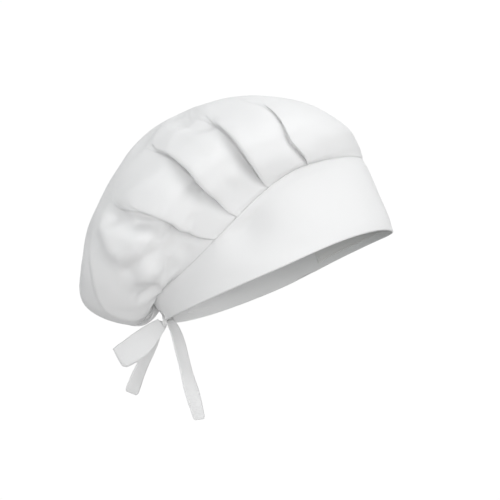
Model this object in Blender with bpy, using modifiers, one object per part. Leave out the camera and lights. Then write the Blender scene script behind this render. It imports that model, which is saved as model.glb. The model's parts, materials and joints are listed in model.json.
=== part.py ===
"""Soft chef's toque: a wide tapered headband, a pleated puffed crown and a half-bow tied at the nape.

Frame: metres, +X towards the forehead, +Y to the wearer's left, +Z up. The origin is on the flat
underside of the headband's rim, at the centre of the forehead, so the rim lies in the plane z = 0.
Run with: blender --background --python part.py
"""

import math

import bmesh
import bpy
from mathutils import Vector

MM = 0.001

# Head opening, measured on the outside of the headband at the rim
RIM_LENGTH = 200 * MM
RIM_WIDTH = 158 * MM
EGG_SHARE = 0.05  # how much the opening narrows towards the forehead
RIM_FOOT = 2.4 * MM  # width of the flat turned edge that the cap stands on

# Headband
BAND_HEIGHT = 68 * MM  # at the temples
BAND_NAPE_HEIGHT = 21 * MM
BAND_FRONT_DIP = 3.5 * MM  # how much lower the band's top is at the middle of the forehead
BAND_LEVEL_FROM = 0.58  # the band is full height ahead of this share of the half length
BAND_LEAN = 0.02  # how far the band leans in for each unit of height
NAPE_GAP = 26 * MM  # distance between the band's two ends

# Cloth layers of the band, counted inwards from the outer face
CLOTH = 0.6 * MM
GAP = 0.3 * MM
INTERLINING = 0.4 * MM
FACING = 0.5 * MM
SWEATBAND = 1.2 * MM
INNER_START = CLOTH + GAP  # outer face of whatever lies just behind the outer band
FACING_START = INNER_START + CLOTH + GAP
SWEATBAND_START = FACING_START + FACING + GAP
HEM_CLEARANCE = 1.0 * MM
SEAM_ALLOWANCE = 6 * MM
INTERLINING_SHORTFALL = 2 * MM  # how far it stops below the crown's tucked hem
FACING_SHORTFALL = 1 * MM  # how far it stops below the band's top edge
END_ALLOWANCE = 2 * MM  # between the nape channel and the inner layers' ends

# Sweatband and label, inside the band
SWEATBAND_BOTTOM = 5 * MM
SWEATBAND_TOP = 40 * MM
SWEATBAND_HALF_SPAN = math.radians(68)
LABEL_ANGLE = math.radians(138)
LABEL_HALF_SPAN = math.radians(9)
LABEL_BOTTOM = 6 * MM
LABEL_HEIGHT = 12 * MM
LABEL_THICKNESS = 0.3 * MM

# Crown
CROWN_HEIGHT = 154 * MM
CROWN_APEX_BACK = 15 * MM  # how far the crown's highest point sits behind the middle of the opening

CROWN_SPLIT = 0.43  # share of the way from seam to apex where the lower part ends and the top begins
SPLIT_GAP = 0.003
SEAM_LIFT = 1.2 * MM  # height of the crown's first turn over the band's top edge
TUCK_LIFT = 0.9 * MM
CROWN_COLUMNS = 64
TUCKED_ROWS = 2  # the hem between the band's layers
LOWER_ROWS = 7
TOP_ROWS = 8

# Nape channel and its elastic
CASING_SPAN = 44 * MM
CASING_BOTTOM = 5 * MM
CASING_TOP = 19 * MM
CASING_DEPTH = 2.8 * MM
CASING_WALL = 0.5 * MM
ELASTIC_WIDTH = 9 * MM
ELASTIC_THICKNESS = 0.8 * MM

# Ties
TIE_WIDTH = 18 * MM
TIE_THICKNESS = 0.8 * MM
TIE_PINCHED_WIDTH = 6 * MM
LEAD_WIDTH = 8 * MM  # pleated narrower where it is sewn into the band's end
LEAD_HEIGHT = 5.2 * MM
LEAD_THICKNESS = 0.6 * MM
BARTACK_THICKNESS = 0.5 * MM
BARTACK_HALF_SPAN = math.radians(0.7)
KNOT_RADII = (4.6 * MM, 4.2 * MM, 5.2 * MM)
LEAD_GAP = 0.6 * MM  # between a lead's end and the knot

CENTRE_X = RIM_FOOT / 2 - RIM_LENGTH / 2
KNOT = Vector((CENTRE_X - 104.5 * MM, 0, -1.5 * MM))

# Where the loop and tails hinge at the knot, the steps from there to their ends, and how they lie across
LOOP_PIVOT = KNOT + Vector((-5.4, -2.6, -0.4)) * MM
LOOP_REACH = Vector((-35.2, 0, -11.5)) * MM
LOOP_LEGS = (  # share of the loop's reach, and distance to either side of its middle plane in millimetres
    (0, 0.73), (0.35, 2.1), (0.75, 2.1), (0.97, 0.89), (1.0, 0),
    (0.97, -0.89), (0.75, -2.1), (0.35, -2.1), (0, -0.73),
)
LOOP_WIDTHS = (6, 13, 17, 18, 18, 18, 17, 13, 6)
SHORT_TAIL_PIVOT = KNOT + Vector((-3.2, 3.4, -4.8)) * MM
SHORT_TAIL_STEPS = ((-14.6, 6.5, -12.8), (-39.4, 9.5, -37.3))
SHORT_TAIL_ACROSS = Vector((0.42, 0.84, -0.34))
LONG_TAIL_PIVOT = KNOT + Vector((5.2, -0.5, -2.5)) * MM
LONG_TAIL_STEPS = ((5, 0, -8), (1, 0, -43), (-3.1, 0, -80))
LONG_TAIL_ACROSS = Vector((0.46, 0.89, -0.05))

# Crown sections at the front, side and back, from just above the seam to the apex. Each point is the
# distance from the apex as a share of the seam's distance, and its height in millimetres.
FRONT_SECTION = (
    (1.00, 76), (0.975, 91), (0.90, 107), (0.775, 122), (0.60, 135), (0.40, 146), (0.19, 152.5),
)
SIDE_SECTION = (
    (1.10, 68), (1.18, 80), (1.20, 95), (1.11, 112), (0.93, 128), (0.68, 142), (0.35, 151),
)
BACK_SECTION = (
    (1.09, 11.5), (1.31, 9.5), (1.57, 26), (1.64, 52), (1.41, 89), (0.99, 122.5), (0.51, 147),
)


def clear_scene():
    for old in list(bpy.data.objects):
        bpy.data.objects.remove(old, do_unlink=True)


def make_collection(name):
    made = bpy.data.collections.new(name)
    bpy.context.scene.collection.children.link(made)
    return made


def make_material(name, colour, roughness):
    material = bpy.data.materials.new(name)
    material.use_nodes = True
    shader = material.node_tree.nodes["Principled BSDF"]
    shader.inputs["Base Color"].default_value = (*colour, 1)
    shader.inputs["Roughness"].default_value = roughness
    shader.inputs["Metallic"].default_value = 0
    return material


def smooth_step(share):
    share = min(max(share, 0), 1)
    return share * share * (3 - 2 * share)


def catmull_rom(points, share):
    """The point at a share, 0 to 1, of a smooth curve through the given vectors."""
    spans = len(points) - 1
    span = min(int(share * spans), spans - 1)
    t = share * spans - span
    p1, p2 = points[span], points[span + 1]
    p0 = points[span - 1] if span else 2 * p1 - p2
    p3 = points[span + 2] if span + 2 <= spans else 2 * p2 - p1
    return 0.5 * (
        2 * p1
        + (p2 - p0) * t
        + (2 * p0 - 5 * p1 + 4 * p2 - p3) * t**2
        + (3 * p1 - p0 - 3 * p2 + p3) * t**3
    )


# The headband's curves. An angle of 0 is the forehead, pi/2 the wearer's left side and pi the nape.


def rim_point(angle):
    half_width = RIM_WIDTH / 2 * (1 - EGG_SHARE * math.cos(angle))
    return Vector((CENTRE_X + RIM_LENGTH / 2 * math.cos(angle), half_width * math.sin(angle), 0))


def outward(angle):
    step = 0.001
    along = rim_point(angle + step) - rim_point(angle - step)
    return Vector((along.y, -along.x, 0)).normalized()


def angle_at_side(distance):
    """The angle near the nape at which the rim stands this far from the middle plane."""
    return math.pi - math.asin(distance / (RIM_WIDTH / 2 * (1 + EGG_SHARE)))


def band_height(angle):
    ahead = math.cos(angle)
    rise = (BAND_HEIGHT - BAND_NAPE_HEIGHT) * smooth_step((ahead + 1) / (BAND_LEVEL_FROM + 1))
    return BAND_NAPE_HEIGHT + rise - BAND_FRONT_DIP * max(ahead, 0) ** 4


def band_point(angle, depth, height):
    """A point this deep inside the band's outer face, at a height above the rim."""
    return rim_point(angle) - outward(angle) * (depth + BAND_LEAN * height) + Vector((0, 0, height))


def sheet(name, columns, rows, place, thickness, material, close_across=False, close_up=False):
    """A cloth sheet: a grid bent onto place(u, v), with its thickness added on the inner side."""
    mesh = bpy.data.meshes.new(name)
    grid = bmesh.new()
    bmesh.ops.create_grid(grid, x_segments=columns, y_segments=rows, size=0.5)
    for vert in grid.verts:
        vert.co = place(vert.co.x + 0.5, vert.co.y + 0.5)
    if close_across or close_up:
        bmesh.ops.remove_doubles(grid, verts=grid.verts, dist=0.01 * MM)
    grid.to_mesh(mesh)
    grid.free()
    mesh.shade_smooth()
    mesh.set_sharp_from_angle(angle=math.radians(40))
    made = bpy.data.objects.new(name, mesh)
    made.data.materials.append(material)
    solidify = made.modifiers.new("Thickness", "SOLIDIFY")
    solidify.thickness = thickness
    solidify.offset = -1
    solidify.use_even_offset = True
    cap.objects.link(made)
    return made


def ribbon(name, centres, widths, sideways, material, rows=16, pivot=None):
    """A flat strap along a smooth centre line; its width and sideways direction change evenly along it."""
    origin = pivot or Vector()

    def place(u, v):
        width = catmull_rom([Vector((w, 0)) for w in widths], v).x
        side = sideways[0].lerp(sideways[-1], v).normalized()
        return catmull_rom(centres, v) + side * width * (u - 0.5) - origin

    made = sheet(name, 2, rows, place, TIE_THICKNESS, material)
    made.modifiers["Thickness"].offset = 0
    made.location = origin
    return made


# Headband layers


def band_strip(name, columns, depth, bottom, top_of, thickness, material, end, rows):
    """A layer this deep in the band, from a level bottom up to top_of(angle), and round to +-end."""

    def place(u, v):
        angle = (2 * u - 1) * end
        height = bottom + (top_of(angle) - bottom) * v
        return band_point(angle, depth, height)

    return sheet(name, columns, rows, place, thickness, material)


def make_headband():
    band_end = angle_at_side(NAPE_GAP / 2)
    wall_rows = 4

    def outer(u, v):
        angle = (2 * u - 1) * band_end
        row = round(v * (wall_rows + 1))
        if row == 0:
            return band_point(angle, RIM_FOOT, 0)
        return band_point(angle, 0, band_height(angle) * (row - 1) / wall_rows)

    sheet("headband_outer", 72, wall_rows + 1, outer, CLOTH, white_cloth)
    inner_end = angle_at_side(CASING_SPAN / 2 + END_ALLOWANCE)
    band_strip(
        "headband_interlining", 56, INNER_START, HEM_CLEARANCE,
        lambda angle: band_height(angle) - SEAM_ALLOWANCE - INTERLINING_SHORTFALL,
        INTERLINING, interlining_felt, inner_end, rows=2,
    )
    band_strip(
        "headband_facing", 56, FACING_START, HEM_CLEARANCE,
        lambda angle: band_height(angle) - FACING_SHORTFALL,
        FACING, white_cloth, inner_end, rows=2,
    )
    band_strip(
        "sweatband", 28, SWEATBAND_START, SWEATBAND_BOTTOM, lambda angle: SWEATBAND_TOP,
        SWEATBAND, towelling, SWEATBAND_HALF_SPAN, rows=2,
    )

    def label(u, v):
        angle = LABEL_ANGLE + (2 * u - 1) * LABEL_HALF_SPAN
        return band_point(angle, SWEATBAND_START, LABEL_BOTTOM + LABEL_HEIGHT * v)

    sheet("care_label", 6, 1, label, LABEL_THICKNESS, satin)


# Nape channel


def make_nape_channel():
    half_span = math.pi - angle_at_side(CASING_SPAN / 2)
    middle = (CASING_BOTTOM + CASING_TOP) / 2
    half_height = (CASING_TOP - CASING_BOTTOM) / 2

    def tube(u, v):
        """Around the flattened channel with v, along it with u; squared off like a pressed hem."""
        angle = math.pi + (2 * u - 1) * half_span
        turn = 2 * math.pi * v
        deep = math.copysign(abs(math.cos(turn)) ** 0.5, math.cos(turn)) * CASING_DEPTH / 2
        high = math.copysign(abs(math.sin(turn)) ** 0.8, math.sin(turn)) * half_height
        return band_point(angle, FACING_START + CASING_DEPTH / 2 - deep, middle + high)

    sheet("nape_casing", 14, 20, tube, CASING_WALL, white_cloth, close_up=True)

    def strip(u, v):
        angle = math.pi + (2 * u - 1) * half_span * 0.94
        depth = FACING_START + CASING_DEPTH / 2 - ELASTIC_THICKNESS / 2
        return band_point(angle, depth, middle + (v - 0.5) * ELASTIC_WIDTH)

    sheet("nape_elastic", 14, 1, strip, ELASTIC_THICKNESS, elastic_tape)


# Crown


def crown_point(angle, share):
    """A point of the crown's outer surface: share 0 is at the seam and 1 at the apex."""
    front = max(math.cos(angle), 0) ** 2
    back = max(-math.cos(angle), 0) ** 1.7
    side = 1 - front - back
    seam_height = band_height(angle) + SEAM_LIFT
    points = [Vector((1, seam_height))]
    for ahead, beside, behind in zip(FRONT_SECTION, SIDE_SECTION, BACK_SECTION):
        reach = ahead[0] * front + beside[0] * side + behind[0] * back
        height = ahead[1] * front + beside[1] * side + behind[1] * back
        points.append(Vector((reach, height * MM)))
    points.append(Vector((0, CROWN_HEIGHT)))
    reach, height = catmull_rom(points, share)
    apex = Vector((CENTRE_X - CROWN_APEX_BACK, 0, 0))
    seam = band_point(angle, 0, band_height(angle))
    seam.z = 0
    return apex + (seam - apex) * max(reach, 0) + Vector((0, 0, height))


def make_crown():
    """The crown cloth as two solids that meet edge to edge, so that its top can lean over its lower part."""

    def lower(u, v):
        angle = 2 * math.pi * u
        row = round(v * (TUCKED_ROWS + LOWER_ROWS))
        if row == 0:
            return band_point(angle, INNER_START, band_height(angle) - SEAM_ALLOWANCE)
        if row == 1:
            return band_point(angle, INNER_START, band_height(angle) + TUCK_LIFT)
        return crown_point(angle, CROWN_SPLIT * (row - TUCKED_ROWS) / LOWER_ROWS)

    def top(u, v):
        return crown_point(2 * math.pi * u, 1 - (1 - CROWN_SPLIT - SPLIT_GAP) * (1 - v))

    parts = (("crown_lower", TUCKED_ROWS + LOWER_ROWS, lower), ("crown_top", TOP_ROWS, top))
    for name, rows, place in parts:
        made = sheet(name, CROWN_COLUMNS, rows, place, CLOTH, white_cloth, close_across=True)
        made.modifiers["Thickness"].use_even_offset = False


# Ties


def make_ties():
    sphere = bmesh.new()
    bmesh.ops.create_uvsphere(sphere, u_segments=20, v_segments=12, radius=1)
    for vert in sphere.verts:
        vert.co = Vector(radius * side for radius, side in zip(KNOT_RADII, vert.co))
    mesh = bpy.data.meshes.new("bow_knot")
    sphere.to_mesh(mesh)
    sphere.free()
    mesh.shade_smooth()
    knot = bpy.data.objects.new("bow_knot", mesh)
    knot.data.materials.append(white_cloth)
    knot.location = KNOT
    cap.objects.link(knot)

    for name, side in (("right_tie", -1), ("left_tie", 1)):
        make_tie_lead(name, side)
    make_bow_loop()
    make_tail("short_tail", SHORT_TAIL_PIVOT, SHORT_TAIL_STEPS, SHORT_TAIL_ACROSS)
    make_tail("long_tail", LONG_TAIL_PIVOT, LONG_TAIL_STEPS, LONG_TAIL_ACROSS)


def make_tie_lead(name, side):
    """The run of strap that is sewn between the band's layers at its end and comes out to the knot."""
    end = angle_at_side(NAPE_GAP / 2)
    depth = INNER_START + LEAD_THICKNESS / 2
    sewn = [band_point(side * (end - math.radians(back)), depth, LEAD_HEIGHT) for back in (7, 3.5, 0)]
    centres = sewn + [
        band_point(side * (end + math.radians(2)), 0, LEAD_HEIGHT - 1 * MM),
        KNOT + Vector((1.5, side * 7.4, 2)) * MM,
        KNOT + Vector((0, side * (KNOT_RADII[1] + LEAD_GAP), 0.5 * MM)),
    ]
    widths = [LEAD_WIDTH] * 4 + [7 * MM, TIE_PINCHED_WIDTH]
    upright = band_point(side * end, 0, 1) - band_point(side * end, 0, 0)
    lead = ribbon(name, centres, widths, (upright, upright), white_cloth)
    lead.modifiers["Thickness"].thickness = LEAD_THICKNESS
    tack_angle = side * (end - math.radians(4))

    def stitches(u, v):
        angle = tack_angle + (2 * u - 1) * BARTACK_HALF_SPAN
        return band_point(angle, -(GAP + BARTACK_THICKNESS), LEAD_HEIGHT + LEAD_WIDTH * (v - 0.5))

    sheet(f"{name}_bartack", 1, 4, stitches, BARTACK_THICKNESS, thread)


def make_bow_loop():
    """One strap folded back on itself; its two legs stand apart along Y and meet near the knot."""
    across = Vector((-LOOP_REACH.z, 0, LOOP_REACH.x)).normalized()
    centres = [LOOP_PIVOT + LOOP_REACH * along + Vector((0, apart * MM, 0)) for along, apart in LOOP_LEGS]
    widths = [width * MM for width in LOOP_WIDTHS]
    ribbon("bow_loop", centres, widths, (across, across), white_cloth, rows=36, pivot=LOOP_PIVOT)


def make_tail(name, start, steps, sideways):
    """A free end of a tie: pinched at the knot, full width from a third of its length."""
    centres = [start] + [start + Vector(step) * MM for step in steps]
    widths = [TIE_PINCHED_WIDTH, 15 * MM] + [TIE_WIDTH] * (len(centres) - 1)
    pinched = Vector((0, 1, 0))
    ribbon(name, centres, widths, (pinched.lerp(sideways, 0.5), sideways), white_cloth, pivot=start)


clear_scene()
cap = make_collection("Chef toque")
white_cloth = make_material("White poly-cotton", (0.88, 0.88, 0.88), 0.9)
interlining_felt = make_material("Non-woven interlining", (0.80, 0.80, 0.78), 0.95)
towelling = make_material("Cotton towelling", (0.85, 0.85, 0.84), 1.0)
elastic_tape = make_material("Woven elastic", (0.82, 0.82, 0.82), 0.8)
satin = make_material("Satin label tape", (0.86, 0.86, 0.87), 0.45)
thread = make_material("Polyester thread", (0.90, 0.90, 0.90), 0.6)
make_headband()
make_nape_channel()
make_crown()
make_ties()
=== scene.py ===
"""The looks of the soft chef's toque: a pleated cloth crown, a wide lined headband and a half-bow at the nape.

Everything is in metres in the frame's own axes: +X is towards the forehead, +Y the wearer's left, +Z up.
An angle round the cap is 0 at the forehead, pi/2 at the wearer's left and pi at the nape.
"""

import json
import math

import bpy
import numpy as np
from mathutils import Matrix, Vector


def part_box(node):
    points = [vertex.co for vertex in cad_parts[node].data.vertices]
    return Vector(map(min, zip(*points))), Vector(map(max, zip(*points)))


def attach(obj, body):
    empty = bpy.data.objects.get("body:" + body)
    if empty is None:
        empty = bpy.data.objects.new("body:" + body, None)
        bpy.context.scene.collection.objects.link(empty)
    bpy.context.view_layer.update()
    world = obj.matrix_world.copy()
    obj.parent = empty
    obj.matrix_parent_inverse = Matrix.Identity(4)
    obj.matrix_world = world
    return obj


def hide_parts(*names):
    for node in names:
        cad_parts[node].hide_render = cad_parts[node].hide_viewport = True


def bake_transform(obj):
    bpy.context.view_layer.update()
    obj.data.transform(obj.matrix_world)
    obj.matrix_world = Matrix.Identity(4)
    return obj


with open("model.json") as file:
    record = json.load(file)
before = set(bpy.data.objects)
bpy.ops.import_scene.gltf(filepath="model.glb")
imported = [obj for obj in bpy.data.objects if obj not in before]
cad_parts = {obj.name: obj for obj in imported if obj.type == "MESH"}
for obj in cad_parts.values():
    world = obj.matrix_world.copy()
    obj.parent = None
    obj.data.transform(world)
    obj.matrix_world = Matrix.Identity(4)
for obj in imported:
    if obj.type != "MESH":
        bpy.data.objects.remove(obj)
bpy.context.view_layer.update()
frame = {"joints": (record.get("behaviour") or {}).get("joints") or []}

MM = 0.001
UP = np.array([0.0, 0.0, 1.0])

# The head opening, from the frame's headband
band_low, band_high = (np.array(corner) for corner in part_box("headband_outer"))
EGG_SHARE = 0.05  # how much the opening narrows towards the forehead
NAPE_GAP = 26 * MM  # distance between the band's two ends
HALF_WIDTH = (band_high[1] - band_low[1]) / 2 / (1 + EGG_SHARE**2 / 2)
BAND_END = math.pi - math.asin(NAPE_GAP / 2 / (HALF_WIDTH * (1 + EGG_SHARE)))
HALF_LENGTH = (band_high[0] - band_low[0]) / (1 - math.cos(BAND_END))
CENTRE_X = band_high[0] - HALF_LENGTH

# The headband
BAND_HEIGHT = band_high[2]
NAPE_HEIGHT = 21 * MM
FRONT_DIP = 3.5 * MM
LEVEL_FROM = 0.58
BAND_LEAN = 0.02
NAPE_FLARE = 4 * MM  # how far the crown's weight pulls the band's back corners outwards
FLARE_FROM = math.radians(145)
RIM_WAVE = ((0, 14, 30, 42, 60, 72, 88, 108, 131, 152, 171), (0, 0.9, 2.2, 2.6, 2.0, 0.6, -1.4, -2.4, -2.6, -1.8, -0.6))

# Cloth
CLOTH = 0.5 * MM
CROWN_DEPTH = 0.9 * MM  # how deep behind the band's outer face the crown's hem is sewn
INTERLINING_DEPTH = 0.9 * MM
FACING_DEPTH = 1.8 * MM
SWEATBAND_DEPTH = 2.6 * MM
TIE_THICKNESS = 0.8 * MM

# The knot, and the joints that the ties swing on
KNOT = (np.array(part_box("bow_knot")[0]) + np.array(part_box("bow_knot")[1])) / 2
PIVOT = {joint["child"]: np.array(joint["pos_m"]) for joint in frame["joints"]}

# The crown's form: shares of the seam's distance from the apex, and heights in millimetres, from seam to apex
CROWN_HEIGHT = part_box("crown_top")[1][2]
APEX = np.array([CENTRE_X - 15 * MM, 0, 0])
FRONT_SECTION = ((1.01, 76), (0.99, 91), (0.905, 107), (0.775, 122), (0.60, 135), (0.40, 145.2), (0.19, 151.8))
SIDE_SECTION = ((1.10, 68), (1.18, 80), (1.20, 95), (1.11, 112), (0.93, 128), (0.68, 142), (0.35, 151))
BACK_SECTION = ((1.09, 11.5), (1.31, 9.5), (1.58, 26), (1.645, 52), (1.40, 89), (0.98, 122.5), (0.51, 147.5))

# Knife pleats on one side, front to back; every fold's edge points backwards. "line" is the edge's angle in degrees
# at LINE_SHARES of the way from seam to apex. Up to "crisp" its cloth runs under; at "fades" it has opened out.
# In millimetres, "crest" is how far the edge stands over the crown's form, "valley" how far the cloth behind it
# sinks below that, "behind" how far back that hollow reaches, and "under" how far its cloth runs in under the edge.
LINE_SHARES = (0, 0.06, 0.15, 0.3, 0.45, 0.6, 0.75, 1)
PLEATS = (
    {
        "line": (58.5, 60.2, 62.5, 68, 67.4, 64.8, 60, 52), "crisp": 0.65, "fades": 0.78,
        "crest": 0.9, "valley": 3.6, "behind": 9, "under": 4,
    },
    {
        "line": (80.5, 82.4, 84.5, 87.2, 89.2, 92.4, 96.5, 94), "crisp": 0.72, "fades": 0.83,
        "crest": 2.4, "valley": 11.0, "behind": 12.5, "under": 5,
    },
    {
        "line": (98.5, 101.6, 104.0, 106.8, 109.6, 116.4, 130, 137), "crisp": 0.77, "fades": 0.84,
        "crest": 2.6, "valley": 14.0, "behind": 14, "under": 5,
    },
    {
        "line": (111.7, 117.2, 121.0, 122.5, 128.6, 139.0, 147, 152), "crisp": 0.56, "fades": 0.67,
        "crest": 2.8, "valley": 11.0, "behind": 11, "under": 4,
    },
    {
        "line": (174, 173.2, 171.6, 166.8, 156.4, 158.5, 164, 168), "crisp": 0.74, "fades": 0.84,
        "crest": 4.0, "valley": 1.4, "behind": 6, "under": 4,
    },
)
PANEL_COLUMNS = (36, 18, 16, 14, 34, 12)
FOLD_COLUMNS = 16
AHEAD_REACH = 20 * MM  # how far a fold's crest carries on into the cloth ahead of it

# Soft hollows and swells at the back of one side: a path of (angle in degrees, share), height and width in mm
RELIEF = (
    (((127, 0.38), (134, 0.46), (138, 0.52), (143, 0.56)), -8.0, 8),
    (((147, 0.55), (144.5, 0.50), (143.5, 0.44), (140.5, 0.38), (137, 0.345)), 2.7, 7),
    (((142, 0.40), (136, 0.385), (130, 0.36)), 2.4, 6.5),
    (((126, 0.08), (128, 0.15), (130.5, 0.21), (133.5, 0.275), (138.5, 0.315), (143.5, 0.33)), -2.6, 6),
    (((140, 0.23), (143, 0.26)), 2.6, 8),
    (((149, 0.44), (149.5, 0.36), (151, 0.28), (155, 0.20)), -1.2, 9),
    (((140, 0.02), (147, 0.05), (153, 0.11), (158, 0.17)), 3.0, 6),
    (((150, 0.14), (156, 0.21)), -3.0, 4),
    (((95, 0.60), (101.5, 0.64), (110.5, 0.735)), -3.2, 6.5),
    (((127, 0.27), (128, 0.35), (130, 0.40), (132.5, 0.45)), -3.5, 6),
    (((126, 0.60), (140, 0.63), (152, 0.64)), -1.6, 11),
)


# Curves and noise


def smooth_step(share):
    share = np.clip(share, 0, 1)
    return share * share * (3 - 2 * share)


def smooth_curve(xs, ys, at):
    """Values at `at` of a smooth curve through knots, level beyond its ends."""
    xs, ys = np.array(xs, float), np.array(ys, float)
    slopes = np.gradient(ys, xs)
    at = np.clip(at, xs[0], xs[-1])
    span = np.clip(np.searchsorted(xs, at, side="right") - 1, 0, len(xs) - 2)
    width = xs[span + 1] - xs[span]
    t = (at - xs[span]) / width
    return (
        (2 * t**3 - 3 * t**2 + 1) * ys[span]
        + (t**3 - 2 * t**2 + t) * width * slopes[span]
        + (3 * t**2 - 2 * t**3) * ys[span + 1]
        + (t**3 - t**2) * width * slopes[span + 1]
    )


def catmull_rom(points, share):
    """Points at shares, 0 to 1, of a smooth curve through stacked points; points[i] and the answer share a shape."""
    spans = len(points) - 1
    span = np.minimum((share * spans).astype(int), spans - 1)
    t = (share * spans - span)[..., None]

    def pick(index):
        index = np.clip(index, 0, spans)[None, ..., None]
        return np.take_along_axis(points, np.repeat(index, points.shape[-1], -1), 0)[0]

    p1, p2 = pick(span), pick(span + 1)
    p0 = np.where((span > 0)[..., None], pick(span - 1), 2 * p1 - p2)
    p3 = np.where((span + 2 <= spans)[..., None], pick(span + 2), 2 * p2 - p1)
    return 0.5 * (
        2 * p1
        + (p2 - p0) * t
        + (2 * p0 - 5 * p1 + 4 * p2 - p3) * t**2
        + (3 * p1 - p0 - 3 * p2 + p3) * t**3
    )


def curve_through(points, count):
    """`count` points evenly spaced in share along a smooth curve through a short list of points."""
    points = np.array(points, float)
    share = np.linspace(0, 1, count)
    return catmull_rom(np.repeat(points[:, None], count, 1), share)


def soft_noise(points, size, seed):
    """Smooth seeded noise of about -2 to 2 in space: a few waves of roughly this length added up."""
    draw = np.random.default_rng(seed)
    total = np.zeros(points.shape[:-1])
    waves = 14
    for _ in range(waves):
        direction = draw.normal(size=3)
        direction /= np.linalg.norm(direction)
        length = size * draw.uniform(0.7, 1.5)
        total += np.sin(points @ direction * 2 * math.pi / length + draw.uniform(0, 2 * math.pi))
    return total / math.sqrt(waves / 2)


def unit(vectors):
    return vectors / np.maximum(np.linalg.norm(vectors, axis=-1, keepdims=True), 1e-12)


# The headband's surface


def rim_point(angle):
    half_width = HALF_WIDTH * (1 - EGG_SHARE * np.cos(angle))
    return np.stack([CENTRE_X + HALF_LENGTH * np.cos(angle), half_width * np.sin(angle), 0 * angle], -1)


def outward(angle):
    step = 0.001
    along = rim_point(angle + step) - rim_point(angle - step)
    return unit(np.stack([along[..., 1], -along[..., 0], 0 * angle], -1))


def band_height(angle):
    ahead = np.cos(angle)
    rise = (BAND_HEIGHT + 0.4 * MM - NAPE_HEIGHT) * smooth_step((ahead + 1) / (LEVEL_FROM + 1))
    return NAPE_HEIGHT + rise - FRONT_DIP * np.maximum(ahead, 0) ** 4


def flare(angle, height):
    turned = np.abs((angle + math.pi) % (2 * math.pi) - math.pi)
    reach = smooth_step((turned - FLARE_FROM) / (BAND_END - FLARE_FROM))
    return NAPE_FLARE * reach * smooth_step(height / NAPE_HEIGHT)


def rim_wave(angle, height):
    """How far the soft lower edge hangs off a flat rim, dying out at the seam. RIM_WAVE is in degrees and mm."""
    turned = np.degrees(np.abs((angle + math.pi) % (2 * math.pi) - math.pi))
    return smooth_curve(*RIM_WAVE, turned) * MM * (1 - smooth_step(height / band_height(angle)))


def band_point(angle, depth, height, flared=True):
    """A point this deep inside the band's outer face, at a height above the rim."""
    angle, depth, height = np.broadcast_arrays(np.asarray(angle, float), depth, height)
    inset = depth + BAND_LEAN * height - (flare(angle, height) if flared else 0)
    level = height + rim_wave(angle, height)
    return rim_point(angle) - outward(angle) * inset[..., None] + level[..., None] * UP


# The crown's smooth form, before it is pleated


def crown_form(angle, share):
    angle, share = np.broadcast_arrays(np.asarray(angle, float), np.asarray(share, float))
    front = np.maximum(np.cos(angle), 0) ** 2
    back = np.maximum(-np.cos(angle), 0) ** 1.7
    side = 1 - front - back
    seam_height = band_height(angle)
    stations = [np.stack([np.ones_like(angle), seam_height + 0.6 * MM], -1)]
    for ahead, beside, behind in zip(FRONT_SECTION, SIDE_SECTION, BACK_SECTION):
        reach = ahead[0] * front + beside[0] * side + behind[0] * back
        height = ahead[1] * front + beside[1] * side + behind[1] * back
        stations.append(np.stack([reach, height * MM], -1))
    stations.append(np.stack([0 * angle, CROWN_HEIGHT + 0 * angle], -1))
    along = catmull_rom(np.stack(stations), np.clip(share, 0, 1))
    seam = band_point(angle, 0, seam_height, flared=False) * np.array([1, 1, 0])
    pulled = outward(angle) * (flare(angle, seam_height) * (1 - smooth_step(share / 0.14)))[..., None]
    return APEX + (seam - APEX) * np.maximum(along[..., :1], 0) + along[..., 1:] * UP + pulled


def crown_normal(angle, share):
    step = 0.004
    share = np.clip(share, step, 1 - 4 * step)
    around = crown_form(angle + step, share) - crown_form(angle - step, share)
    upward = crown_form(angle, share + step) - crown_form(angle, share - step)
    return unit(np.cross(around, upward))


def pleat_state(pleat, share, radius):
    """A fold's middle angle, half width as an angle, the run of its cloth under it, and its crest and valley."""
    crisp, fades = pleat["crisp"], pleat["fades"]
    edge = math.radians(float(smooth_curve(LINE_SHARES, pleat["line"], share)))
    opened = smooth_step((share - 0.85 * crisp) / (fades - 0.85 * crisp))
    risen = smooth_step(share / (0.32 * crisp))
    swell = risen * (1 - smooth_step((share - 0.38 * crisp) / (0.58 * crisp))) + 0.10 * risen * (1 - opened)
    pressed = 0.6 * MM * smooth_step((0.35 * crisp - share) / (0.35 * crisp))
    crest, valley = (pleat[part] * MM * swell + pressed for part in ("crest", "valley"))
    half = (1.2 + 0.6 * smooth_step(share / (0.5 * crisp)) + 12 * opened) * MM
    under = pleat["under"] * smooth_step((0.99 * crisp - share) / (0.35 * crisp)) * MM
    return edge - under / 2 / radius, min(half / radius, math.radians(6.5)), under, crest, valley


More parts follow.
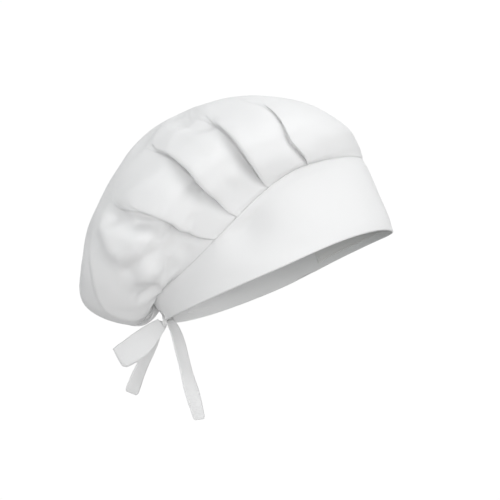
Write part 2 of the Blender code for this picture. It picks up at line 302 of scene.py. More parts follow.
def crown_row(share):
    """Angles, and heights over the crown's form, of the cloth of one half-row from the forehead to the nape."""
    edges = np.radians([float(smooth_curve(LINE_SHARES, pleat["line"], share)) for pleat in PLEATS])
    step = 0.002
    across = crown_form(edges + step, share) - crown_form(edges - step, share)
    radii = np.maximum(np.linalg.norm(across, axis=-1) / (2 * step), 3 * MM)
    states = [pleat_state(pleat, share, radius) for pleat, radius in zip(PLEATS, radii)]
    turn = np.linspace(-1, 1, FOLD_COLUMNS)
    angles, owner = [], []
    previous = 0.0
    for index, (centre, half_angle, under, _, _) in enumerate(states):
        angles.append(np.linspace(previous, centre - half_angle, PANEL_COLUMNS[index], endpoint=False))
        owner.append(np.full(PANEL_COLUMNS[index], -1))
        folded = (half_angle + under / radii[index]) / 2 * smooth_step(under / (1.5 * MM))
        angles.append(centre + half_angle * turn - folded * np.sin(math.pi * turn))
        owner.append(np.full(FOLD_COLUMNS, index))
        previous = centre + half_angle
    angles.append(np.linspace(previous, math.pi, PANEL_COLUMNS[-1] + 2)[1:])
    owner.append(np.full(PANEL_COLUMNS[-1] + 1, -1))
    angles, owner = np.concatenate(angles), np.concatenate(owner)
    heights = np.zeros(len(angles))

    def hollow(past, pleat):
        """How much of a fold's depth is left this far past it: a broad hollow with a tighter one at the fold."""
        spread = 0.4 + 0.6 * smooth_step(share / (0.5 * pleat["crisp"]))
        past = np.maximum(past, 0) / (pleat["behind"] * spread * MM)
        return 0.65 * np.exp(-(past**2)) + 0.35 * np.exp(-((past / 0.4) ** 2))

    for index, (centre, half_angle, _, crest, valley) in enumerate(states):
        inside = owner == index
        heights[inside] += crest - (crest + valley) * (1 + np.sin(math.pi / 2 * turn)) / 2
        past = np.abs(angles - centre) * radii[index] - half_angle * radii[index]
        ahead = crest * np.exp(-np.maximum(past, 0) / AHEAD_REACH)
        behind = -valley * hollow(past, PLEATS[index])
        heights += np.where(inside, 0, np.where(angles < centre, ahead, behind))
    centre, half_angle, _, _, valley = states[-1]
    past = (2 * math.pi - centre - half_angle - angles) * radii[-1]
    heights -= np.where(angles > centre, valley * hollow(past, PLEATS[-1]), 0)
    return angles, heights


def relief(angle, share, points):
    """The soft hollows and swells at the back of the crown, as a height over its form."""
    total = np.zeros(angle.shape)
    for path, height, width in RELIEF:
        for side in (1, -1):
            knots = np.array([crown_form(side * math.radians(a), s) for a, s in path])
            spine = curve_through(knots, 14)
            nearest = np.full(angle.shape, np.inf)
            for place in spine:
                nearest = np.minimum(nearest, ((points - place) ** 2).sum(-1))
            total += height * MM * np.exp(-nearest / (width * MM) ** 2)
    turned = np.degrees(np.abs((angle + math.pi) % (2 * math.pi) - math.pi))
    past_fold = smooth_step((turned - smooth_curve(LINE_SHARES, PLEATS[3]["line"], share)) / 3)
    return total * np.maximum(past_fold, smooth_step((share - 0.5) / 0.12))


# Making objects


def finish_mesh(made):
    """Applies an object's modifiers, so that its mesh is final."""
    graph = bpy.context.evaluated_depsgraph_get()
    final = bpy.data.meshes.new_from_object(made.evaluated_get(graph))
    made.modifiers.clear()
    made.data = final
    return made


def cloth_sheet(name, points, uv, material, closed=False, thickness=CLOTH, offset=-1):
    """A sheet from a grid of points (rows, columns, 3), with cloth coordinates in metres and a thickness."""
    rows, columns = points.shape[:2]
    wrap = columns if closed else columns - 1
    index = np.arange(rows * columns).reshape(rows, columns)
    right = np.roll(index, -1, axis=1)[:, :wrap]
    left = index[:, :wrap]
    faces = np.stack([left[:-1], right[:-1], right[1:], left[1:]], -1).reshape(-1, 4)
    mesh = bpy.data.meshes.new(name)
    mesh.from_pydata(points.reshape(-1, 3).tolist(), [], faces.tolist())
    flat = uv.reshape(-1, 2)[faces.ravel()]
    if closed:
        last = np.repeat(np.arange(len(faces)) % wrap == wrap - 1, 4)
        at_start = faces.ravel() % columns == 0
        girth = uv[:, -1, 0] * 2 - uv[:, -2, 0]
        flat[last & at_start, 0] = girth[(faces.ravel() // columns)[last & at_start]]
    layer = mesh.uv_layers.new(name="Cloth")
    layer.data.foreach_set("uv", flat.astype(np.float32).ravel())
    mesh.materials.append(material)
    mesh.shade_smooth()
    made = bpy.data.objects.new(name, mesh)
    bpy.context.scene.collection.objects.link(made)
    solidify = made.modifiers.new("Cloth thickness", "SOLIDIFY")
    solidify.thickness = thickness
    solidify.offset = offset
    return finish_mesh(made)


def lengths_uv(points):
    """Cloth coordinates in metres: the distance walked along each row and each column."""
    across = np.linalg.norm(np.diff(points, axis=1), axis=-1)
    along = np.linalg.norm(np.diff(points, axis=0), axis=-1)
    u = np.concatenate([np.zeros((len(points), 1)), np.cumsum(across, 1)], 1)
    u -= u.mean(axis=1, keepdims=True)
    v = np.concatenate([np.zeros((1, points.shape[1])), np.cumsum(along, 0)], 0)
    return np.stack([u, v], -1)


def strap(name, centres, widths, sides, material, rows=56, thickness=TIE_THICKNESS, rounded=0.0, start_rounded=0.0, curl=0.5, seed=3):
    """A flat strap along a smooth centre line. Its corners may be rounded, and its edges curl a little."""
    columns = 13
    across = np.linspace(-1, 1, columns)
    width = curve_through([(w * MM, 0) for w in widths], 401)[:, 0]
    side = unit(curve_through(sides, 401))
    line = curve_through(centres, 401)
    length = np.concatenate([[0], np.cumsum(np.linalg.norm(np.diff(line, axis=0), axis=1))])

    def set_back(radius, half_width):
        reach = np.clip((np.abs(across) * half_width - (half_width - radius)) / max(radius, 1e-9), 0, 1)
        return radius * (1 - np.sqrt(1 - reach**2)) if radius else 0 * across

    first = set_back(start_rounded * MM, width[0] / 2)
    last = length[-1] - set_back(rounded * MM, width[-1] / 2)
    walked = first + (last - first) * np.linspace(0, 1, rows)[:, None]

    def at(values):
        return np.interp(walked, length, values)

    place = np.stack([at(line[:, i]) for i in range(3)], -1)
    lateral = unit(np.stack([at(side[:, i]) for i in range(3)], -1))
    forward = np.stack([at(np.gradient(line[:, i])) for i in range(3)], -1)
    normal = unit(np.cross(forward, lateral))
    half = at(width) / 2
    points = place + lateral * (half * across)[..., None]
    bend = curl * (across**2 - 0.4) * smooth_step(walked / (20 * MM)) + 0.5 * soft_noise(points, 30 * MM, seed)
    points += normal * (bend * MM)[..., None]
    uv = np.stack(np.broadcast_arrays(9 * MM * across, walked), -1)
    return cloth_sheet(name, points, uv, material, thickness=thickness, offset=0)


def tube(name, path, radius, material):
    """A round thread along a list of points."""
    path = np.array(path, float)
    forward = unit(np.gradient(path, axis=0))
    side = unit(np.cross(forward, np.array([0.13, 0.31, 0.94])))
    over = np.cross(side, forward)
    turn = np.linspace(0, 2 * math.pi, 8, endpoint=False)
    ring = side[:, None] * np.cos(turn)[:, None] + over[:, None] * np.sin(turn)[:, None]
    points = path[:, None] + ring * radius
    return cloth_sheet(name, points, lengths_uv(points), material, closed=True, thickness=radius * 0.6)


# Materials


class Graph:
    """Short calls for wiring up a material's nodes."""

    def __init__(self, tree):
        self.nodes, self.links = tree.nodes, tree.links

    def node(self, kind, inputs=(), **settings):
        made = self.nodes.new(kind)
        for key, value in settings.items():
            setattr(made, key, value)
        for socket, value in dict(inputs).items():
            if isinstance(value, bpy.types.NodeSocket):
                self.links.new(value, made.inputs[socket])
            else:
                made.inputs[socket].default_value = value
        return made

    def math(self, operation, first, second=0.0, third=0.0):
        return self.node("ShaderNodeMath", {0: first, 1: second, 2: third}, operation=operation).outputs[0]

    def noise(self, vector, scale, detail=3.0):
        return self.node("ShaderNodeTexNoise", {"Vector": vector, "Scale": scale, "Detail": detail}).outputs["Fac"]


def cloth_material(name, colour, pitch, bump, sheen=0.25, see_through=0.12, slub=1.0, terry=0.0, ribs=0.0, stitched=(), painted_shade=None):
    """Woven cloth. Crossing threads, slubs and soft creases are in the bump, and its tone is slightly uneven.

    `stitched` holds rows of stitches as ("X" or "Y", distance from the cloth coordinate's zero, in metres).
    `painted_shade` is a painted shade: the grey that the colour is darkened to at the middle of its length, standing in
    for shade, and how far that darkening reaches.
    """
    material = bpy.data.materials.new(name)
    material.use_nodes = True
    graph = Graph(material.node_tree)
    graph.nodes.clear()
    uv = graph.node("ShaderNodeUVMap", uv_map="Cloth").outputs["UV"]
    place = graph.node("ShaderNodeNewGeometry").outputs["Position"]
    split = graph.node("ShaderNodeSeparateXYZ", {0: uv}).outputs
    waves = [graph.math("SINE", graph.math("MULTIPLY", split[axis], 2 * math.pi / pitch)) for axis in ("X", "Y")]
    weave = graph.math("MULTIPLY", *waves)
    height = graph.math("MULTIPLY_ADD", graph.noise(place, 1100.0), slub, weave)
    if terry:
        loops = graph.node("ShaderNodeTexVoronoi", {"Vector": place, "Scale": 900.0}).outputs["Distance"]
        height = graph.math("MULTIPLY_ADD", loops, terry, height)
    if ribs:
        height = graph.math("MULTIPLY_ADD", waves[1], ribs, height)
    fine = graph.node("ShaderNodeBump", {"Strength": bump, "Distance": 0.07 * MM, "Height": height})
    creases = graph.noise(place, 75.0, 2.0)
    for axis, distance in stitched:
        other = "Y" if axis == "X" else "X"
        off_line = graph.math("ABSOLUTE", graph.math("SUBTRACT", graph.math("ABSOLUTE", split[axis]), distance))
        near = graph.math("SUBTRACT", 1.0, graph.math("MULTIPLY", off_line, 1 / (0.7 * MM)), 0.0)
        near = graph.math("MAXIMUM", near, 0.0)
        dash = graph.math("SINE", graph.math("MULTIPLY", split[other], 2 * math.pi / (2.6 * MM)))
        dash = graph.math("MULTIPLY_ADD", dash, 0.4, -0.6)
        creases = graph.math("MULTIPLY_ADD", graph.math("MULTIPLY", near, dash), 0.9, creases)
    broad = graph.node(
        "ShaderNodeBump",
        {"Strength": 0.5, "Distance": 0.4 * MM, "Height": creases, "Normal": fine.outputs["Normal"]},
    )
    mix = graph.nodes.new("ShaderNodeMix")
    mix.data_type = "RGBA"
    graph.links.new(graph.noise(place, 26.0, 4.0), mix.inputs["Factor"])
    mix.inputs[6].default_value = (*[c * 0.97 for c in colour], 1)
    mix.inputs[7].default_value = (*colour, 1)
    colour_out = mix.outputs[2]
    # Painted shade: the colour darkens towards the middle of the cloth's length, inside the band's front, standing in
    # for the shade there.
    if painted_shade:
        off_middle = graph.math("MULTIPLY", graph.math("ABSOLUTE", split["X"]), 1 / painted_shade[1])
        painted_shade_mix = graph.nodes.new("ShaderNodeMix")
        painted_shade_mix.data_type = "RGBA"
        graph.links.new(graph.math("MINIMUM", off_middle, 1.0), painted_shade_mix.inputs["Factor"])
        painted_shade_mix.inputs[6].default_value = (*painted_shade[0], 1)
        graph.links.new(colour_out, painted_shade_mix.inputs[7])
        colour_out = painted_shade_mix.outputs[2]
    rough = graph.math("MULTIPLY_ADD", graph.noise(place, 300.0), 0.12, 0.8)
    shader = graph.node(
        "ShaderNodeBsdfPrincipled",
        {
            "Base Color": colour_out,
            "Roughness": rough,
            "Sheen Weight": sheen,
            "Sheen Roughness": 0.6,
            "Specular IOR Level": 0.25,
            "Normal": broad.outputs["Normal"],
        },
    )
    if see_through:
        through = graph.node("ShaderNodeBsdfTranslucent", {"Color": colour_out})
        surface = graph.node(
            "ShaderNodeMixShader", {0: see_through, 1: shader.outputs[0], 2: through.outputs[0]}
        ).outputs[0]
    else:
        surface = shader.outputs[0]
    graph.node("ShaderNodeOutputMaterial", {"Surface": surface})
    return material


WHITE = (0.90, 0.90, 0.90)
white_cloth = cloth_material("White poly-cotton", WHITE, 0.55 * MM, 0.5)
# The ties are the shell's cloth, painted lighter as painted light.
tie_cloth_painted_lighter = cloth_material("Tie poly-cotton painted lighter", (0.95, 0.95, 0.95), 0.55 * MM, 0.5, stitched=(("X", 7.2 * MM),))
lining = cloth_material("Interlining", (0.82, 0.82, 0.80), 0.9 * MM, 0.4, sheen=0.1)
# The towelling's own colour is white. Its grey towards the middle of its length, inside the band's front, is painted
# shade.
towelling = cloth_material(
    "Towelling", (0.92, 0.92, 0.91), 1.4 * MM, 0.5, sheen=0.4, terry=2.0, stitched=(("Y", 2 * MM),),
    painted_shade=((0.38, 0.39, 0.38), 175 * MM),
)
# The lining is painted lighter than the shell's cloth, as painted light, and greys towards the middle of its length,
# inside the band's front, as painted shade.
inner_cloth = cloth_material(
    "Lining poly-cotton", (0.96, 0.96, 0.96), 0.55 * MM, 0.5, painted_shade=((0.56, 0.575, 0.57), 240 * MM)
)
elastic_tape = cloth_material("Woven elastic", (0.84, 0.84, 0.84), 1.0 * MM, 0.9, ribs=2.0)
satin = cloth_material("Satin tape", (0.95, 0.95, 0.95), 0.3 * MM, 0.2, sheen=0.1, stitched=(("Y", 1.2 * MM),))
thread = cloth_material("Sewing thread", WHITE, 0.5 * MM, 0.6, see_through=0)


# The crown


def settle(columns, shares):
    """How the crown's cloth moves when it is let go as real cloth, sewn at the band: a grid of displacements."""
    angles = np.linspace(0, 2 * math.pi, columns, endpoint=False)
    angle, share = np.meshgrid(angles, shares)
    rest = crown_form(angle, share)
    rows = len(shares)
    index = np.arange(rows * columns).reshape(rows, columns)
    right = np.roll(index, -1, axis=1)
    faces = np.stack([index[:-1], right[:-1], right[1:], index[1:]], -1).reshape(-1, 4).tolist()
    top = rows * columns
    faces += [[int(a), int(b), top] for a, b in zip(index[-1], right[-1])]
    mesh = bpy.data.meshes.new("settling")
    mesh.from_pydata(rest.reshape(-1, 3).tolist() + [(APEX + UP * CROWN_HEIGHT).tolist()], [], faces)
    drape = bpy.data.objects.new("settling", mesh)
    bpy.context.scene.collection.objects.link(drape)
    sewn = drape.vertex_groups.new(name="Sewn")
    sewn.add(index[0].tolist(), 1.0, "REPLACE")
    sewn.add([*index[1:].ravel().tolist(), top], 0.2, "REPLACE")
    cloth = drape.modifiers.new("Cloth", "CLOTH")
    settings = cloth.settings
    settings.quality = 6
    settings.mass = 0.12
    settings.tension_stiffness = 12
    settings.compression_stiffness = 6
    settings.shear_stiffness = 3
    settings.bending_stiffness = 1.5
    settings.vertex_group_mass = "Sewn"
    settings.shrink_min = -0.04
    settings.effector_weights.gravity = 0.06
    cloth.collision_settings.use_collision = False
    cloth.collision_settings.use_self_collision = False
    last_frame = 26
    cloth.point_cache.frame_start = 1
    cloth.point_cache.frame_end = last_frame
    for number in range(1, last_frame + 1):
        bpy.context.scene.frame_set(number)
    graph = bpy.context.evaluated_depsgraph_get()
    settled = drape.evaluated_get(graph).data
    moved = np.empty(len(settled.vertices) * 3, np.float32)
    settled.vertices.foreach_get("co", moved)
    moved = moved.reshape(-1, 3)[: rows * columns].reshape(rows, columns, 3) - rest
    bpy.data.objects.remove(drape)
    bpy.context.scene.frame_set(1)
    return moved


def sample_grid(grid, columns, shares, angle, share):
    """Values of a grid that wraps round in angle, read between its points."""
    turn = (angle % (2 * math.pi)) / (2 * math.pi) * columns
    column = turn.astype(int) % columns
    across = (turn - np.floor(turn))[..., None]
    row = np.clip(np.searchsorted(shares, share, side="right") - 1, 0, len(shares) - 2)
    up = np.clip((share - shares[row]) / (shares[row + 1] - shares[row]), 0, 1)[..., None]
    beside = (column + 1) % columns
    lower = grid[row, column] * (1 - across) + grid[row, beside] * across
    upper = grid[row + 1, column] * (1 - across) + grid[row + 1, beside] * across
    return lower * (1 - up) + upper * up


def make_crown():
    rows = 100
    shares = np.concatenate([[0, 0], np.linspace(0, 1, rows)[:-1], [0.9965]])
    half = [crown_row(share) for share in shares]
    angles = np.array([row[0] for row in half])
    heights = np.array([row[1] for row in half])
    angles = np.concatenate([angles, 2 * math.pi - angles[:, -2:0:-1]], 1)
    heights = np.concatenate([heights, heights[:, -2:0:-1]], 1)
    share = np.repeat(shares[:, None], angles.shape[1], 1)
    points = crown_form(angles, share)
    near_seam = smooth_step(share / 0.03)
    away = smooth_step(share / 0.15) * smooth_step((1 - share) / 0.2)
    rear = 0.2 + 0.8 * smooth_step((0.1 - np.cos(angles)) / 0.9)
    heights = heights * near_seam + relief(angles, share, points) * smooth_step(share / 0.05)
    heights += soft_noise(points, 85 * MM, 5) * 0.9 * MM * away * rear
    heights += soft_noise(points, 34 * MM, 8) * 0.35 * MM * away * rear
    from_nape = np.abs(np.abs((angles + math.pi) % (2 * math.pi) - math.pi) - math.pi)
    gathered = smooth_step((math.radians(36) - from_nape) / math.radians(16)) * np.exp(-share / 0.14)
    heights += 2.4 * MM * gathered * np.sin(from_nape * 32 + 1.5 * soft_noise(points, 30 * MM, 21)) * near_seam
    seam_walk = lengths_uv(points)[2, :, 0]
    pucker = np.sin(seam_walk * 2 * math.pi / (7 * MM) + 1.5 * soft_noise(points[2], 40 * MM, 4))
    heights += (0.8 + 0.25 * pucker) * MM * np.exp(-share / 0.04) * near_seam
    normals = crown_normal(angles, share)
    points = points + normals * heights[..., None]
    columns, settle_shares = 72, np.linspace(0, 0.975, 27)
    moved = sample_grid(settle(columns, settle_shares), columns, settle_shares, angles, share)
    out = (moved * normals).sum(-1)
    out -= out.mean(axis=1, keepdims=True)
    most = 2.2 * MM
    points = points + normals * (most * np.tanh(out / most) * away * rear)[..., None]
    middle = points[-1].mean(axis=0)
    points = np.concatenate([points, middle + (points[-1:] - middle) * 0.04])
    seam = band_height(angles[0])
    points[0] = dented(band_point(angles[0], CROWN_DEPTH, seam - 6 * MM), angles[0], seam)
    points[1] = band_point(angles[1], CROWN_DEPTH, seam + 0.2 * MM)
    crown = cloth_sheet("crown_cloth", points, lengths_uv(points), white_cloth, closed=True)
    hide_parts("crown_lower", "crown_top")
    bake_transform(crown)


# The headband


def rides(made, body, node):
    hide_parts(node)
    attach(made, body)


def band_relief(points):
    """Soft dents in the whole band, as a height over its outer face."""
    bulge = soft_noise(points, 120 * MM, 11) * 0.6 * MM + soft_noise(points, 45 * MM, 12) * 0.2 * MM
    for along, up, height, width in ((-11, 38, -6.5, 18), (-44, 26, 1.0, 18), (32, 38, 1.4, 24)):
        for side in (-1, 1):
            centre = np.array([CENTRE_X + along * MM, side * HALF_WIDTH, up * MM])
            off = ((points - centre) * np.array([1, 0, 1])) ** 2
            facing = points[..., 1] * side > 0
            bulge += height * MM * np.exp(-off.sum(-1) / (width * MM) ** 2) * facing
    return bulge


def dented(points, angles, top):
    """The points of a band layer, pushed in and out with the rest of the band."""
    below_top = np.maximum(top - points[..., 2], 0)
    middle = smooth_step(points[..., 2] / (12 * MM)) * smooth_step(below_top / (9 * MM))
    return points + outward(np.broadcast_to(angles, points.shape[:-1])) * (band_relief(points) * middle)[..., None]


def make_band():
    columns = 340
    angles = np.linspace(-BAND_END, BAND_END, columns)
    top = band_height(angles)
    profile = ((1.5, 9), (1.55, 1.2), (1.5, 0.5), (1.2, 0.1), (0.6, 0.05), (0.15, 0.5), (0, 1.4))
    rows = [band_point(angles, depth * MM, height * MM) for depth, height in profile]
    for share in np.linspace(0.05, 1, 30):
        rows.append(band_point(angles, 0, 1.4 * MM + (top - 1.9 * MM) * share))
    rows.append(band_point(angles, 0.15 * MM, top - 0.22 * MM))
    rows.append(band_point(angles, 0.5 * MM, top))
    rows.append(band_point(angles, 1.3 * MM, top - 0.3 * MM))
    points = np.stack(rows)
    below_top = top[None] - points[..., 2]
    walk = lengths_uv(points)[0, :, 0]
    pucker = np.sin(walk * 2 * math.pi / (7 * MM) + 1.5 * soft_noise(points[0], 40 * MM, 4))
    raised = 0.16 * MM * pucker * np.exp(-np.maximum(below_top, 0) / (4 * MM)) * smooth_step(below_top / (1 * MM))
    points = dented(points, angles, top)
    points += outward(np.repeat(angles[None], len(points), 0)) * raised[..., None]
    band = cloth_sheet("headband_cloth", points, lengths_uv(points), white_cloth)
    rides(band, "cap", "headband_outer")


def band_layer(name, node, depth, bottom, top_of, end, material, thickness, seed, wave=0.15, folded=True):
    """A lining of the band: a sheet inside it, its lower edge turned under when `folded` is true."""
    columns = 260
    angles = np.linspace(-end, end, columns)
    top = top_of(angles)
    rows = []
    if folded:
        rows += [band_point(angles, depth - thickness * 0.3, bottom + 3 * MM)]
    for share in (0, 0.005, 0.015, *np.linspace(0.04, 1, 19)):
        rows.append(band_point(angles, depth, bottom + (top - bottom) * share))
    points = np.stack(rows)
    inner = smooth_step((points[..., 2] - bottom) / (6 * MM)) * smooth_step((top[None] - points[..., 2]) / (6 * MM))
    sag = (soft_noise(points, 55 * MM, seed) + 1) * wave * MM * inner
    points = dented(points, angles, band_height(angles))
    points -= outward(np.repeat(angles[None], len(points), 0)) * sag[..., None]
    made = cloth_sheet(name, points, lengths_uv(points), material, thickness=thickness)
    rides(made, "cap", node)


def make_linings():
    inner_end = math.pi - math.asin(24 * MM / (HALF_WIDTH * (1 + EGG_SHARE)))
    band_layer(
        "headband_stiffener", "headband_interlining", INTERLINING_DEPTH, 10 * MM,
        lambda a: band_height(a) - 8 * MM, inner_end, lining, 0.4 * MM, 31, wave=0.05, folded=False,
    )
    band_layer(
        "headband_lining", "headband_facing", FACING_DEPTH, 0.35 * MM,
        lambda a: band_height(a) - 1 * MM, inner_end, inner_cloth, 0.5 * MM, 32,
    )
    make_sweatband()
    make_label()


def make_sweatband():
    """A strip of towelling round the forehead: a plump edge all round and a looped face."""
    end = math.radians(68)
    columns, rows = 300, 40
    across = np.linspace(-1, 1, columns)
    up = np.linspace(0, 1, rows)[:, None]
    angles = across[None] * end + 0 * up
    height = 5 * MM + 35 * MM * up + 0 * angles
    edge = np.minimum(np.minimum(up, 1 - up) * 35 * MM, (1 - np.abs(across[None])) * end * HALF_LENGTH)
    plump = np.sqrt(np.clip(edge / (1.6 * MM), 0, 1)) * 1.1 * MM
    points = band_point(angles, SWEATBAND_DEPTH, height)
    plump += 0.12 * MM * soft_noise(points, 18 * MM, 42)
    plump -= 0.7 * MM * np.exp(-(((edge - 2.2 * MM) / (0.6 * MM)) ** 2))
    points = dented(points, angles, band_height(angles))
    points -= outward(angles) * plump[..., None]
    made = cloth_sheet("sweatband_towelling", points, lengths_uv(points), towelling, thickness=0.5 * MM, offset=1)
    rides(made, "cap", "sweatband")


def make_label():
    """A blank satin care label, sewn flat at its lower edge and curling off the lining at its top."""
    centre, half_span = math.radians(138), math.radians(9)
    across = np.linspace(-1, 1, 30)[None]
    up = np.linspace(0, 1, 16)[:, None]
    angles = centre + half_span * across + 0 * up
    lifted = 0.5 * MM * up**2 + 0.25 * MM * (across**2) * up
    points = band_point(angles, SWEATBAND_DEPTH + lifted, 6 * MM + 12 * MM * up + 0 * angles)
    uv = lengths_uv(points)
    made = cloth_sheet("care_label_tape", points, uv, satin, thickness=0.25 * MM)
    rides(made, "cap", "care_label")


def make_nape():
    """The channel that closes the nape, gathered by the elastic inside it."""
    low, high = (np.array(corner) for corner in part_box("nape_casing"))
    middle, half_height = (low[2] + high[2]) / 2, (high[2] - low[2]) / 2
    half_span = math.asin(22 * MM / (HALF_WIDTH * (1 + EGG_SHARE)))
    depth = 2.8 * MM
    along = np.linspace(-1, 1, 150)[:, None]
    turn = np.linspace(0, 2 * math.pi, 36, endpoint=False)[None]
    angles = math.pi + along * half_span + 0 * turn
    deep = np.sign(np.cos(turn)) * np.abs(np.cos(turn)) ** 0.6 * depth / 2 + 0 * along
    high_up = np.sign(np.sin(turn)) * np.abs(np.sin(turn)) ** 0.8 * half_height + 0 * along
    walk = along * 22 * MM
    ripple = np.sin(walk * 2 * math.pi / (4.2 * MM) + 1.2 * np.sin(walk * 2 * math.pi / (13 * MM)))
    loose = smooth_step((1 - np.abs(along)) / 0.25)
    deep = deep * (1 + 0.30 * ripple * loose) + 0.35 * MM * ripple * loose
    high_up = high_up * (1 + 0.03 * ripple * loose)
    points = band_point(angles, FACING_DEPTH + depth / 2 - deep, middle + high_up)
    uv = lengths_uv(points)[..., ::-1]
    casing = cloth_sheet("nape_channel", points, uv, white_cloth, closed=True, thickness=0.4 * MM)
    rides(casing, "cap", "nape_casing")
    low, high = (np.array(corner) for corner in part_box("nape_elastic"))
    stretch = np.linspace(-0.94, 0.94, 60)[None]
    up = np.linspace(-1, 1, 12)[:, None]
    angles = math.pi + stretch * half_span + 0 * up
    points = band_point(angles, FACING_DEPTH + depth / 2 - 0.4 * MM, middle + up * (high[2] - low[2]) / 2 + 0 * angles)
    tape = cloth_sheet("nape_elastic_tape", points, lengths_uv(points), elastic_tape, thickness=0.8 * MM)
    rides(tape, "cap", "nape_elastic")


# The ties


def make_knot():
    """The strap's turn round the other one, pulled tight: a small bundle with a wrap across it."""
    turns, rings = 48, 30
    around = np.linspace(0, 2 * math.pi, turns, endpoint=False)[None]
    up = np.linspace(-math.pi / 2 + 0.05, math.pi / 2 - 0.05, rings)[:, None]
    ball = np.stack([np.cos(up) * np.cos(around), np.cos(up) * np.sin(around), np.sin(up) + 0 * around], -1)
    wrap = ball @ unit(np.array([0.35, 0.15, 0.92]))
    second = ball @ unit(np.array([0.2, 0.9, -0.3]))
    grow = 1 + 0.16 * np.exp(-((wrap / 0.34) ** 2)) - 0.13 * np.exp(-(((np.abs(wrap) - 0.46) / 0.12) ** 2))
    grow -= 0.10 * np.exp(-((second / 0.10) ** 2)) * (np.abs(wrap) < 0.42)
    grow += 0.03 * soft_noise(ball, 0.7, 51)
    radii = np.array([3.5, 3.6, 4.2]) * MM
    points = KNOT + ball * radii * grow[..., None]
    made = cloth_sheet("bow_knot_wrap", points, lengths_uv(points), white_cloth, closed=True, thickness=0.5 * MM)
    rides(made, "cap", "bow_knot")


def offsets(origin, steps):
    return [origin + np.array(step) * MM for step in steps]


def make_leads():
    """The straps' sewn-in ends: pleated narrow between the band's layers, then drawn to the knot."""
    for name, side in (("right_tie", -1), ("left_tie", 1)):
        sewn = [band_point(side * (BAND_END - math.radians(back)), 1.1 * MM, 7.5 * MM) for back in (7, 3.5)]
        leaving = [band_point(side * (BAND_END + math.radians(0.8)), 0.6 * MM, 7 * MM)]
        drawn = offsets(KNOT, ((6.4, side * 9.0, 6.2), (4.8, side * 6.6, 1.4), (3.4, side * 4.6, -2.4)))
        made = strap(
            f"{name}_strap", sewn + leaving + drawn, (9, 9, 8.6, 6.6, 4.6, 1.6),
            [(0.10, 0, 1), (0.10, 0, 1), (0.3, 0, 1), (0.75, 0, 0.75), (0.8, 0, 0.5), (0.8, 0, 0.4)],
            white_cloth, rows=40, thickness=0.6 * MM, curl=0.9, seed=60 + side,
        )
        rides(made, "cap", name)
        tack = []
        for step in range(19):
            angle = side * (BAND_END - math.radians(4) + math.radians(0.7) * (1 if step % 2 else -1))
            tack.append(band_point(angle, -0.25 * MM, (1.6 + 0.4 * step) * MM))
        stitches = tube(f"{name}_tack", tack, 0.16 * MM, thread)
        rides(stitches, "cap", f"{name}_bartack")


def make_loop():
    """One strap folded back on itself. The two legs stand apart and meet at the knot."""
    pivot = PIVOT["bow_loop"]
    legs = (
        (7.6, -1.6, 0.9), (-1.4, -2.4, -2.8), (-11.6, -2.8, -7.1), (-22.5, -2.4, -10.0), (-32.6, -1.4, -11.9),
        (-35.2, 0.2, -11.4), (-32.6, 1.6, -12.0), (-22.5, 2.2, -10.6), (-11.6, 2.1, -7.8), (-2, 1.6, -3.2), (3.0, 1.0, -0.6),
    )
    widths = (10, 15.5, 20, 20, 18.8, 15.5, 18.8, 19.5, 18.5, 15, 8)
    sides = [(0.28, 0, -0.96)] * 2 + [(0.20, -0.05, -0.98)] * 3 + [(0.19, 0, -0.98)] + [(0.16, 0.05, -0.98)] * 3 + [(0.28, 0, -0.96)] * 2
    made = strap("bow_loop_strap", offsets(pivot, legs), widths, sides, tie_cloth_painted_lighter, rows=110, curl=0.3, seed=71)
    rides(made, "bow_loop", "bow_loop")


def make_tails():
    short = strap(
        "short_tail_strap",
        offsets(PIVOT["short_tail"], ((3.4, -2.2, 4.2), (-3.5, 1, -2), (-14.6, 4, -12.8), (-28, 6, -24.8), (-39.4, 8, -37.3))),
        (5, 9, 14, 16.5, 16.5), [(0.3, 0.8, -0.3), (0.36, 0.85, -0.32), (0.38, 0.86, -0.34), (0.38, 0.86, -0.36), (0.38, 0.86, -0.38)],
        tie_cloth_painted_lighter, rounded=2.5, seed=72,
    )
    rides(short, "short_tail", "short_tail")
    long = strap(
        "long_tail_strap",
        offsets(PIVOT["long_tail"], ((-4.4, 0.4, 1.0), (-0.6, 0.3, 4.8), (3.8, 0.1, 2.6), (5.0, 0, -8), (3.2, 0, -25), (1.0, 0, -43), (-1.0, 0, -62), (-3.1, 0, -80))),
        (6, 10, 14, 18, 18, 18, 18, 18), [(0.2, 0.95, 0.2), (0.3, 0.95, 0.2), (0.5, 0.86, 0.05)] + [(0.46, 0.89, -0.05)] * 4 + [(0.47, 0.88, -0.1)],
        tie_cloth_painted_lighter, rows=80, rounded=2.5, seed=73,
    )
    rides(long, "long_tail", "long_tail")


make_crown()
make_band()
make_linings()
make_nape()
make_knot()
make_leads()
make_loop()
make_tails()


# Floor, light and camera


def make_floor():
    """A pale floor. It is seen only from above, so that the cap can also be looked at from below."""
    material = bpy.data.materials.new("Pale floor")
    material.use_nodes = True
    graph = Graph(material.node_tree)
    graph.nodes.clear()
    behind = graph.node("ShaderNodeNewGeometry").outputs["Backfacing"]
    path = graph.node("ShaderNodeLightPath").outputs["Is Camera Ray"]
    strength = graph.math("MULTIPLY_ADD", path, 0.50, 0.52)
    glow = graph.node("ShaderNodeEmission", {"Color": (1, 1, 1, 1), "Strength": strength})
    clear = graph.node("ShaderNodeBsdfTransparent")
    mixed = graph.node("ShaderNodeMixShader", {0: behind, 1: glow.outputs[0], 2: clear.outputs[0]})
    graph.node("ShaderNodeOutputMaterial", {"Surface": mixed.outputs[0]})
    size, level = 6, -0.30
    corners = [(CENTRE_X + x * size, y * size, level) for x, y in ((-1, -1), (1, -1), (1, 1), (-1, 1))]
    mesh = bpy.data.meshes.new("floor")
    mesh.from_pydata(corners, [], [(0, 1, 2, 3)])
    mesh.materials.append(material)
    floor = bpy.data.objects.new("floor", mesh)
    bpy.context.scene.collection.objects.link(floor)


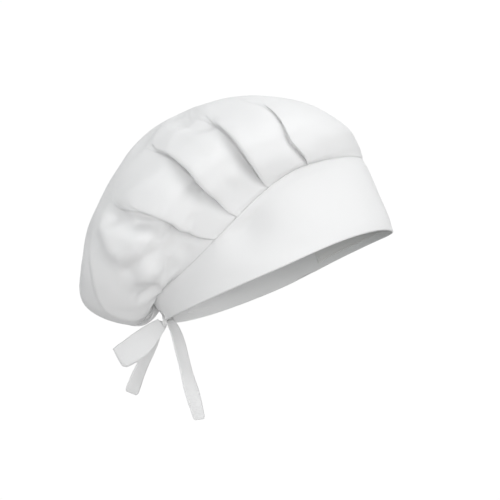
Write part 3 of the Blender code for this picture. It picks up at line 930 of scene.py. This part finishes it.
def make_world():
    """White behind the cap, and a weaker, even light on it."""
    world = bpy.data.worlds.new("Soft studio")
    world.use_nodes = True
    graph = Graph(world.node_tree)
    graph.nodes.clear()
    seen = graph.node("ShaderNodeBackground", {"Color": (1, 1, 1, 1), "Strength": 1.02})
    lighting = graph.node("ShaderNodeBackground", {"Color": (0.975, 0.992, 1.0, 1), "Strength": 0.62})
    path = graph.node("ShaderNodeLightPath").outputs["Is Camera Ray"]
    mixed = graph.node("ShaderNodeMixShader", {0: path, 1: lighting.outputs[0], 2: seen.outputs[0]})
    graph.node("ShaderNodeOutputWorld", {"Surface": mixed.outputs[0]})
    bpy.context.scene.world = world


def area_light(name, place, aim, size, power):
    data = bpy.data.lights.new(name, "AREA")
    data.energy = power
    data.size = size
    light = bpy.data.objects.new(name, data)
    light.location = place
    light.rotation_mode = "QUATERNION"
    light.rotation_quaternion = (Vector(aim) - Vector(place)).to_track_quat("-Z", "Y")
    light.visible_camera = False
    bpy.context.scene.collection.objects.link(light)


def make_camera():
    """At the wearer's right, a little below the rim, rolled so that the cap's front is tipped up."""
    distance = 1.30
    below = math.radians(7.0)
    roll = math.radians(21.3)
    frame_width = 0.408  # what the picture spans at the cap
    target = Vector((CENTRE_X - 14 * MM, 0, 29.5 * MM))
    forward = Vector((0, math.cos(below), math.sin(below)))
    right = Vector((1, 0, 0))
    up = right.cross(forward)
    tipped_right = right * math.cos(roll) - up * math.sin(roll)
    tipped_up = right * math.sin(roll) + up * math.cos(roll)
    data = bpy.data.cameras.new("Photo view")
    data.sensor_width = 36
    data.lens = data.sensor_width * distance / frame_width
    camera = bpy.data.objects.new("Photo view", data)
    turn = Matrix((tipped_right, tipped_up, -forward)).transposed().to_4x4()
    camera.matrix_world = Matrix.Translation(target - forward * distance) @ turn
    bpy.context.scene.collection.objects.link(camera)
    bpy.context.scene.camera = camera


make_floor()
make_world()
middle = (CENTRE_X, 0, 60 * MM)
area_light("Front key", (1.1, -0.5, 0.1), middle, 0.8, 5.2)
area_light("Top", (0.15, -0.35, 1.5), middle, 0.9, 6.4)
area_light("Far fill", (0.2, 1.2, 0.9), middle, 0.8, 4)
area_light("Low side fill", (-0.10, -1.15, -0.24), middle, 0.5, 8.2)
make_camera()
bpy.context.scene.view_settings.view_transform = "Standard"
